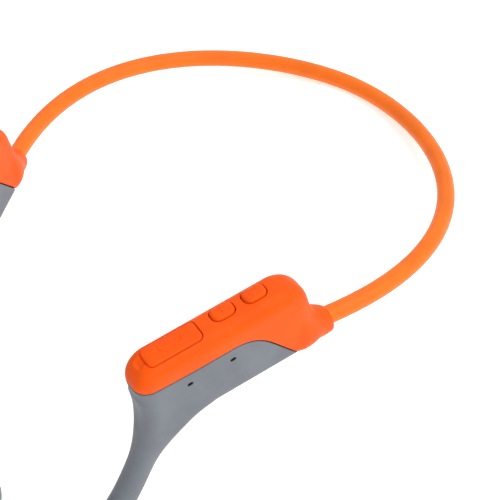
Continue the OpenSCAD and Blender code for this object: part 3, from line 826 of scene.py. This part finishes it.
# ---------------------------------------------------------------- materials
class Nodes:
    """A Principled material with helpers for object-space noise, in units of one millimetre."""

    def __init__(self, name, base, rough, **sockets):
        self.mat = bpy.data.materials.new(name)
        self.mat.use_nodes = True
        self.tree = self.mat.node_tree
        self.tree.nodes.clear()
        self.out = self.tree.nodes.new("ShaderNodeOutputMaterial")
        self.bsdf = self.tree.nodes.new("ShaderNodeBsdfPrincipled")
        self.link(self.bsdf.outputs["BSDF"], self.out.inputs["Surface"])
        self.bsdf.inputs["Base Color"].default_value = (*base, 1)
        self.bsdf.inputs["Roughness"].default_value = rough
        for key, v in sockets.items():
            self.bsdf.inputs[key.replace("_", " ")].default_value = v
        coord = self.tree.nodes.new("ShaderNodeTexCoord")
        scale = self.tree.nodes.new("ShaderNodeMapping")
        scale.inputs["Scale"].default_value = (1000, 1000, 1000)
        self.link(coord.outputs["Object"], scale.inputs["Vector"])
        self.mm = scale.outputs["Vector"]
        self.height = None

    def link(self, a, b):
        self.tree.links.new(a, b)

    def noise(self, size, detail=3.0, rough=0.5, stretch=None):
        """Noise with features about size millimetres across."""
        n = self.tree.nodes.new("ShaderNodeTexNoise")
        n.inputs["Scale"].default_value = 1 / size
        n.inputs["Detail"].default_value = detail
        n.inputs["Roughness"].default_value = rough
        source = self.mm
        if stretch:
            m = self.tree.nodes.new("ShaderNodeMapping")
            m.inputs["Scale"].default_value = stretch
            self.link(self.mm, m.inputs["Vector"])
            source = m.outputs["Vector"]
        self.link(source, n.inputs["Vector"])
        return n.outputs["Fac"]

    def span(self, value, low, high, to_low=0.0, to_high=1.0, smooth=False):
        """Maps low to high on to to_low to to_high, clamped."""
        r = self.tree.nodes.new("ShaderNodeMapRange")
        if smooth:
            r.interpolation_type = "SMOOTHSTEP"
        r.inputs["From Min"].default_value = low
        r.inputs["From Max"].default_value = high
        r.inputs["To Min"].default_value = to_low
        r.inputs["To Max"].default_value = to_high
        self.link(value, r.inputs["Value"])
        return r.outputs["Result"]

    def math(self, op, a, b):
        """Arithmetic on two sockets or numbers."""
        m = self.tree.nodes.new("ShaderNodeMath")
        m.operation = op
        for i, v in enumerate((a, b)):
            if isinstance(v, (int, float)):
                m.inputs[i].default_value = v
            else:
                self.link(v, m.inputs[i])
        return m.outputs["Value"]

    def mix(self, factor, a, b):
        """A colour between a at factor 0 and b at factor 1."""
        m = self.tree.nodes.new("ShaderNodeMix")
        m.data_type = "RGBA"
        self.link(factor, m.inputs["Factor"])
        for i, v in ((6, a), (7, b)):
            if isinstance(v, tuple):
                m.inputs[i].default_value = (*v, 1)
            else:
                self.link(v, m.inputs[i])
        return m.outputs[2]

    def bump(self, value, depth, strength=1.0):
        """value from 0 to 1 becomes relief depth millimetres deep."""
        b = self.tree.nodes.new("ShaderNodeBump")
        b.inputs["Distance"].default_value = depth * MM
        b.inputs["Strength"].default_value = strength
        self.link(value, b.inputs["Height"])
        if self.height is not None:
            self.link(self.height, b.inputs["Normal"])
        self.height = b.outputs["Normal"]
        self.link(self.height, self.bsdf.inputs["Normal"])

    def shade(self, colour):
        self.link(colour, self.bsdf.inputs["Base Color"])

    def roughness(self, value):
        self.link(value, self.bsdf.inputs["Roughness"])

    def edge_wear(self, low=0.53, high=0.62):
        g = self.tree.nodes.new("ShaderNodeNewGeometry")
        return self.span(g.outputs["Pointiness"], low, high, smooth=True)


def tint(c, k):
    return tuple(min(1.0, max(0.0, v * k)) for v in c)


def soft_touch(name, base, lift, rough):
    """Matte soft-touch paint: fine grain, faint clouding, handled patches and a paler worn rim."""
    light, dark = tint(base, lift), tint(base, 0.93)
    m = Nodes(name, base, rough)
    m.bsdf.inputs["Specular IOR Level"].default_value = 0.1
    cloud = m.span(m.noise(9.0, 4), 0.35, 0.65)
    fine = m.noise(0.09, 2, 0.6)
    colour = m.mix(cloud, dark, light)
    speck = m.span(m.noise(0.35, 3), 0.62, 0.78, 0.0, 0.12)
    colour = m.mix(speck, colour, tint(light, 1.15))
    colour = m.mix(m.math("MULTIPLY", m.edge_wear(), 0.25), colour, tint(light, 1.2))
    m.shade(colour)
    handled = m.span(m.noise(4.5, 5), 0.4, 0.62)
    grainy = m.span(fine, 0.3, 0.7, rough - 0.05, rough + 0.05)
    m.roughness(m.math("ADD", grainy, m.math("MULTIPLY", handled, -0.06)))
    m.bump(fine, 0.006, 0.7)
    m.bump(m.noise(1.6, 3), 0.008, 0.5)
    return m.mat


def silicone(name, base):
    """Moulded silicone sleeve: satin skin with a little light inside it, dust specks and a soft waviness."""
    light, dark = tint(base, 1.04), tint(base, 0.92)
    m = Nodes(name, base, 0.42)
    m.bsdf.inputs["Subsurface Weight"].default_value = 0.08
    m.bsdf.inputs["Subsurface Scale"].default_value = 0.0012
    m.bsdf.inputs["Subsurface Radius"].default_value = (1.0, 0.45, 0.2)
    m.bsdf.inputs["Specular IOR Level"].default_value = 0.2
    colour = m.mix(m.span(m.noise(7.0, 4), 0.35, 0.65), dark, light)
    dust = m.span(m.noise(0.22, 2), 0.68, 0.8, 0.0, 0.3)
    colour = m.mix(dust, colour, tint(light, 1.3))
    m.shade(colour)
    m.roughness(m.span(m.noise(2.5, 5), 0.3, 0.7, 0.36, 0.52))
    m.bump(m.noise(0.12, 2, 0.6), 0.004, 0.6)
    m.bump(m.noise(3.0, 2), 0.02, 0.4)
    return m.mat


def rubber(name, base, rough=0.6):
    """Dull rubber: faint clouding, dust specks and a fine texture."""
    m = Nodes(name, base, rough)
    m.bsdf.inputs["Specular IOR Level"].default_value = 0.3
    colour = m.mix(m.span(m.noise(3.0, 4), 0.35, 0.65), tint(base, 0.85), tint(base, 1.2))
    m.shade(m.mix(m.span(m.noise(0.2, 2), 0.66, 0.8, 0.0, 0.35), colour, tint(base, 2.2)))
    m.roughness(m.span(m.noise(0.9, 4), 0.3, 0.7, rough - 0.08, rough + 0.08))
    m.bump(m.noise(0.14, 3, 0.65), 0.012, 0.8)
    return m.mat


def metal(name, base, rough, stretch=(1, 1, 0.08), scratch=0.05):
    """Bare metal with scratches drawn out along z."""
    m = Nodes(name, base, rough, Metallic=1.0)
    lines = m.noise(scratch, 3, 0.6, stretch)
    m.shade(m.mix(m.span(m.noise(1.5, 4), 0.35, 0.65), tint(base, 0.85), base))
    m.roughness(m.span(lines, 0.3, 0.7, rough - 0.08, rough + 0.12))
    m.bump(lines, 0.002, 0.5)
    return m.mat


def moulded(name, base, rough=0.5):
    """Plain moulded plastic or foam with a fine grain."""
    m = Nodes(name, base, rough)
    m.shade(m.mix(m.span(m.noise(1.2, 4), 0.35, 0.65), tint(base, 0.85), tint(base, 1.15)))
    m.roughness(m.span(m.noise(0.3, 3), 0.3, 0.7, rough - 0.08, rough + 0.08))
    m.bump(m.noise(0.08, 2), 0.004, 0.6)
    return m.mat


def board(name, base):
    """Solder mask over copper tracks."""
    m = Nodes(name, base, 0.35, Coat_Weight=0.4, Coat_Roughness=0.15)
    brick = m.tree.nodes.new("ShaderNodeTexBrick")
    brick.inputs["Scale"].default_value = 0.9
    brick.inputs["Mortar Size"].default_value = 0.06
    brick.inputs["Color1"].default_value = (*tint(base, 0.85), 1)
    brick.inputs["Color2"].default_value = (*tint(base, 1.0), 1)
    brick.inputs["Mortar"].default_value = (*tint(base, 1.7), 1)
    m.link(m.mm, brick.inputs["Vector"])
    m.shade(brick.outputs["Color"])
    m.bump(m.math("SUBTRACT", 1.0, brick.outputs["Fac"]), 0.02, 0.5)
    return m.mat


def winding(name, base):
    """Fine enamelled wire, layer on layer."""
    m = Nodes(name, base, 0.3, Metallic=1.0)
    w = m.tree.nodes.new("ShaderNodeTexWave")
    w.inputs["Scale"].default_value = 1.6
    w.inputs["Distortion"].default_value = 0.3
    m.link(m.mm, w.inputs["Vector"])
    m.shade(m.mix(w.outputs["Fac"], tint(base, 0.55), base))
    m.bump(w.outputs["Fac"], 0.03, 0.8)
    return m.mat


def woven(name, base):
    """Fine dark mesh."""
    m = Nodes(name, base, 0.7)
    m.bsdf.inputs["Specular IOR Level"].default_value = 0.08
    c = m.tree.nodes.new("ShaderNodeTexChecker")
    c.inputs["Scale"].default_value = 9.0
    c.inputs["Color1"].default_value = (*tint(base, 0.6), 1)
    c.inputs["Color2"].default_value = (*tint(base, 1.8), 1)
    m.link(m.mm, c.inputs["Vector"])
    m.shade(c.outputs["Color"])
    m.bump(c.outputs["Fac"], 0.03, 0.7)
    return m.mat


ORANGE = (0.98, 0.104, 0.005)
BAND_ORANGE = (0.98, 0.185, 0.012)
GREY = (0.184, 0.2, 0.222)

finishes = {
    "orange_shell": soft_touch("soft touch orange", ORANGE, 1.04, 0.5),
    "band_silicone": silicone("orange silicone", BAND_ORANGE),
    "grey_shell": soft_touch("soft touch grey", GREY, 1.06, 0.52),
    "dark_rubber": rubber("dark rubber", (0.035, 0.037, 0.042)),
    "seal": rubber("seam rubber", (0.02, 0.006, 0.004), 0.8),
    "black_plastic": moulded("black plastic", (0.012, 0.012, 0.014)),
    "circuit_board": board("circuit board", (0.01, 0.09, 0.04)),
    "steel_parts": metal("steel", (0.62, 0.62, 0.63), 0.3),
    "sprung_wire": metal("sprung wire", (0.45, 0.44, 0.43), 0.35),
    "cable_jacket": rubber("cable jacket", (0.015, 0.015, 0.017), 0.45),
    "copper_coil": winding("copper winding", (0.8, 0.3, 0.12)),
    "gold_parts": metal("gold plate", (0.85, 0.6, 0.25), 0.22),
    "magnet_nickel": metal("nickel plate", (0.66, 0.64, 0.6), 0.15),
    "battery_foil": metal("laminated foil", (0.7, 0.7, 0.68), 0.35, (1, 1, 1), 0.6),
    "white_foam": moulded("white foam", (0.8, 0.8, 0.76), 0.8),
    "mesh_cloth": woven("fine mesh", (0.004, 0.004, 0.005)),
}


def give(obj, slot_name):
    """A finish by the name of its material slot in the record."""
    obj.data.materials.clear()
    obj.data.materials.append(finishes[slot_name])


for piece in (top_right, top_left, plus, minus, door, call, recess):
    give(piece, "orange_shell")
for piece in (bottom_right, bottom_left):
    give(piece, "grey_shell")
for piece in (seal_right, seal_left):
    give(piece, "seal")
give(meshes, "mesh_cloth")
for label in ("right", "left"):
    give(bpy.data.objects[label + "_transducer_shell_skin"], "grey_shell")
    give(bpy.data.objects[label + "_transducer_pad_skin"], "dark_rubber")
    give(bpy.data.objects[label + "_transducer_strip"], "seal")
    give(bpy.data.objects[label + "_sleeve"], "band_silicone")
    give(bpy.data.objects[label + "_band_wire"], "sprung_wire")
    give(bpy.data.objects[label + "_band_cable"], "cable_jacket")

slots_of = {s["node"]: s["material_slot"] for s in frame["record"]["subparts"]}
for node_name, obj in frame["nodes"].items():
    for slot in obj.material_slots:
        slot.material = finishes[slots_of[node_name]]


# ---------------------------------------------------------------- floor and light
def add_floor():
    """A plain pale floor that glows a little, so that shadows stay faint."""
    ground = Nodes("pale floor", (0.96, 0.96, 0.96), 0.8)
    patches = ground.span(ground.noise(30.0, 3), 0.3, 0.7)
    ground.shade(ground.mix(patches, (0.955, 0.955, 0.955), (0.965, 0.965, 0.965)))
    ground.bump(ground.noise(0.8, 2), 0.01, 0.2)
    ground.bsdf.inputs["Emission Color"].default_value = (1, 1, 1, 1)
    ground.bsdf.inputs["Emission Strength"].default_value = 0.5
    n, half = 24, 3.0
    g = np.linspace(-half, half, n)
    X, Y = np.meshgrid(g, g, indexing="ij")
    V = np.c_[X.ravel(), Y.ravel(), np.zeros(X.size)] / MM
    idx = np.arange(n * n).reshape(n, n)
    a, b, c, d = idx[:-1, :-1].ravel(), idx[1:, :-1].ravel(), idx[1:, 1:].ravel(), idx[:-1, 1:].ravel()
    obj = add_mesh("floor", V, np.c_[a, b, c, d], 0)
    obj.data.materials.append(ground.mat)


def area_light(name, direction, distance, size, energy):
    """A round soft light that looks at the headset. Metres and watts."""
    light = bpy.data.lights.new(name, "AREA")
    light.shape, light.size, light.energy = "DISK", size, energy
    obj = bpy.data.objects.new(name, light)
    bpy.context.scene.collection.objects.link(obj)
    d = Vector(direction).normalized()
    obj.location = Vector((0, 0, 0.02)) + d * distance
    obj.rotation_euler = d.to_track_quat("Z", "Y").to_euler()


add_camera()
add_floor()
world = bpy.data.worlds.new("studio")
world.use_nodes = True
background = world.node_tree.nodes["Background"]
background.inputs["Color"].default_value = (1, 1, 1, 1)
background.inputs["Strength"].default_value = 0.5
bpy.context.scene.world = world
bpy.context.scene.view_settings.view_transform = "Standard"
area_light("key", (0.9, 0.45, 1.25), 0.9, 0.7, 4.2)
area_light("fill", (0.9, -0.9, 0.8), 1.0, 0.8, 1.6)
area_light("rim", (-0.5, 1.0, 0.9), 1.0, 0.6, 1.6)
